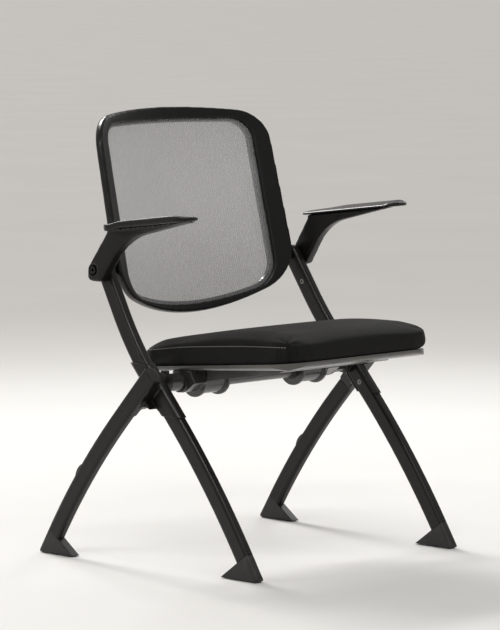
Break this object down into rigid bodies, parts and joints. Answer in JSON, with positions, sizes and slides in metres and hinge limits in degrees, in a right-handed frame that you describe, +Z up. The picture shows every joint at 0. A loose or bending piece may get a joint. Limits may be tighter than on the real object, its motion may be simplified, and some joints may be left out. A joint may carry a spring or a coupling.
{
  "type": "nesting chair",
  "caption": "Armchair on bent side legs with a flip-up upholstered seat and a sprung reclining mesh back, for nesting in rows.",
  "frame": {"origin": "on the floor, under the centre of the bounding box", "axes": "+Z up, front of the chair towards -Y, +X to the sitter's left"},
  "size_m": [0.634, 0.5591, 0.8515],
  "materials": {
    "frame_metal": "dark brown-grey satin powder coat",
    "cast_alloy": "die casting under a dark satin coat",
    "foot_plastic": "moulded, fine grain",
    "glide_plastic": "plain hard plastic",
    "fastener_steel": "plated steel",
    "arm_plastic": "moulded, soft satin",
    "shell_plastic": "moulded, satin",
    "seat_plywood": "plain plywood",
    "seat_fabric": "plain dark upholstery cloth",
    "bush_plastic": "low-friction plastic",
    "back_plastic": "moulded, satin",
    "back_fabric": "open woven mesh"
  },
  "bodies": {
    "frame": {"upright_left": "frame_metal", "upright_right": "frame_metal", "front_leg_left": "frame_metal", "front_leg_right": "frame_metal", "hub_casting_left": "cast_alloy", "hub_casting_right": "cast_alloy", "rear_leg_left": "frame_metal", "rear_leg_right": "frame_metal", "front_foot_left": "foot_plastic", "front_foot_right": "foot_plastic", "rear_foot_left": "foot_plastic", "rear_foot_right": "foot_plastic", "foot_glides": "glide_plastic", "nesting_bumpers": "foot_plastic", "cross_tube": "frame_metal", "stop_blocks": "foot_plastic", "hub_screws": "fastener_steel", "pivot_head_left": "cast_alloy", "pivot_head_right": "cast_alloy", "head_screws": "fastener_steel", "arm_support_left": "cast_alloy", "arm_support_right": "cast_alloy", "arm_pad_left": "arm_plastic", "arm_pad_right": "arm_plastic", "arm_pad_screws": "fastener_steel", "pivot_bolts": "fastener_steel"},
    "seat": {"seat_shell": "shell_plastic", "seat_board": "seat_plywood", "seat_cushion": "seat_fabric", "hinge_saddle_left": "cast_alloy", "hinge_saddle_right": "cast_alloy", "hinge_bushes": "bush_plastic"},
    "backrest": {"back_frame": "back_plastic", "mesh_carrier": "back_plastic", "back_mesh": "back_fabric", "pivot_bushes": "bush_plastic"}
  },
  "joints": [
    {"name": "seat_flip", "type": "hinge", "parent": "frame", "child": "seat", "pos_m": [0, 0.004, 0.345], "axis": [-1, 0, 0], "range_deg": [0, 75]},
    {"name": "back_tilt", "type": "hinge", "parent": "frame", "child": "backrest", "pos_m": [0, 0.1511, 0.553], "axis": [-1, 0, 0], "range_deg": [0, 12], "stiffness_Nm_per_rad": 90, "springref_deg": -6.88}
  ]
}
